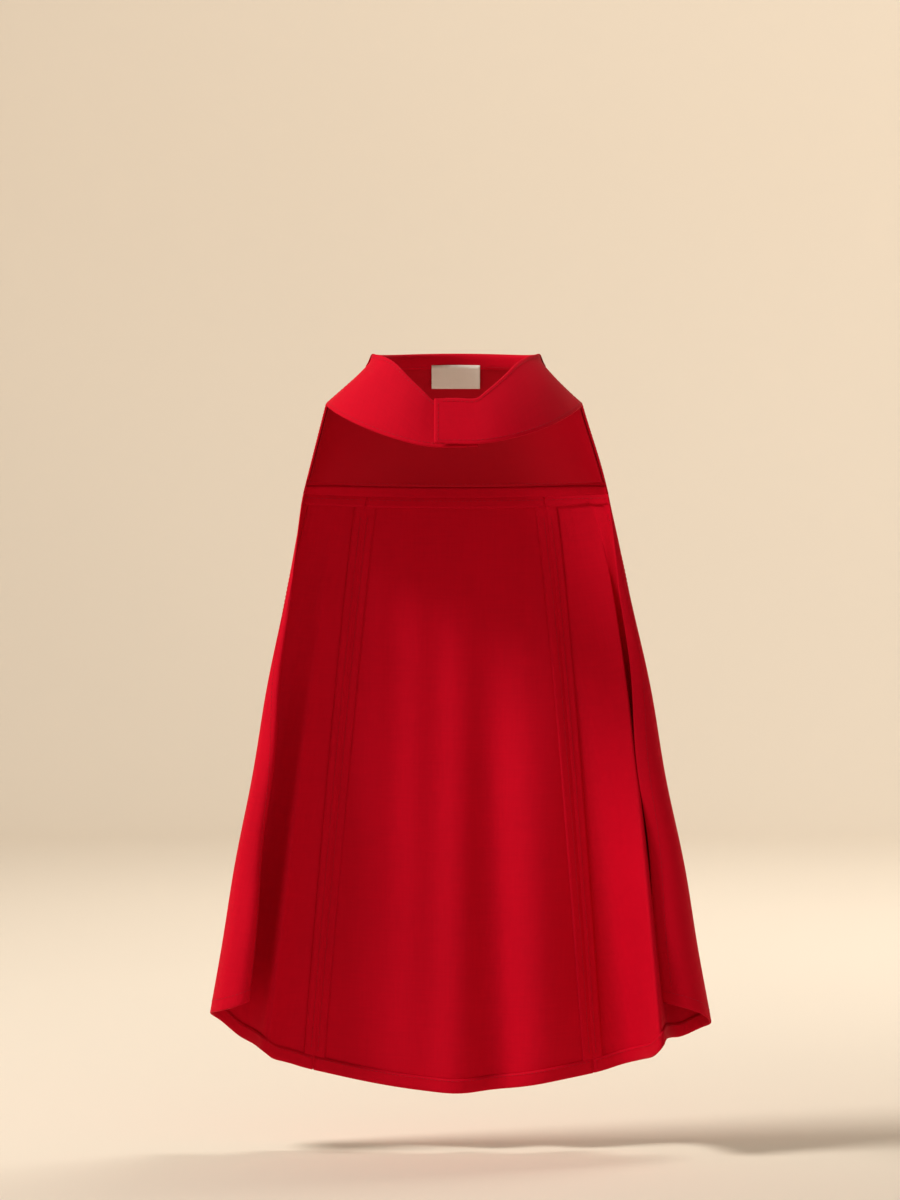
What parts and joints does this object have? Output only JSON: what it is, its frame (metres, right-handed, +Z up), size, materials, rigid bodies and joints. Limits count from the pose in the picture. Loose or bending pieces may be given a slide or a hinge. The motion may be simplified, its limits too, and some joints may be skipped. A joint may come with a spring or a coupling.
{
  "type": "superhero cape",
  "caption": "Flared child's costume cape with a shoulder yoke, two front tabs that close at the throat with hook and loop pads, and a drape that hangs behind the wearer.",
  "frame": {"origin": "middle of the neck opening, at the height of the throat", "axes": "+X to the wearer's left, +Y to the wearer's back, +Z up"},
  "size_m": [0.3308, 0.1922, 0.4869],
  "materials": {
    "red_cloth": "smooth matt weave with a faint sheen",
    "facing_cloth": "matt lining weave",
    "interfacing_cloth": "matt non-woven",
    "binding_cloth": "smooth matt weave",
    "label_cloth": "blank satin ribbon",
    "hook_tape": "moulded nylon hooks",
    "loop_tape": "brushed loop pile"
  },
  "bodies": {
    "yoke": {"back_yoke_outer": "red_cloth", "back_yoke_facing": "facing_cloth", "neck_interfacing": "interfacing_cloth", "neck_binding": "binding_cloth", "care_label": "label_cloth"},
    "left_tab": {"left_tab_outer": "red_cloth", "left_tab_facing": "facing_cloth", "hook_pad": "hook_tape"},
    "right_tab": {"right_tab_outer": "red_cloth", "right_tab_facing": "facing_cloth", "loop_pad": "loop_tape"},
    "drape": {"back_panel": "red_cloth"},
    "left_side": {"left_side_panel": "red_cloth"},
    "right_side": {"right_side_panel": "red_cloth"}
  },
  "joints": [
    {"name": "left_tab_hinge", "type": "hinge", "parent": "yoke", "child": "left_tab", "pos_m": [0.05436, -0.0002, 0.02635], "axis": [-0.6918, -0.0954, 0.7157], "range_deg": [0, 110]},
    {"name": "right_tab_hinge", "type": "hinge", "parent": "yoke", "child": "right_tab", "pos_m": [-0.05436, -0.0002, 0.02635], "axis": [-0.6918, 0.0954, -0.7157], "range_deg": [0, 55]},
    {"name": "drape_swing", "type": "hinge", "parent": "yoke", "child": "drape", "pos_m": [0, 0.0884, -0.0622], "axis": [1, 0, 0], "range_deg": [0, 75]},
    {"name": "left_side_swing", "type": "hinge", "parent": "drape", "child": "left_side", "pos_m": [0.05879, 0.08343, -0.06167], "axis": [-0.1008, -0.0887, 0.9909], "range_deg": [0, 35]},
    {"name": "right_side_swing", "type": "hinge", "parent": "drape", "child": "right_side", "pos_m": [-0.05879, 0.08343, -0.06167], "axis": [-0.1008, 0.0887, -0.9909], "range_deg": [0, 35]}
  ],
  "couplings": [
    {"joint": "right_tab_hinge", "follows": "left_tab_hinge", "ratio": 0.5}
  ]
}
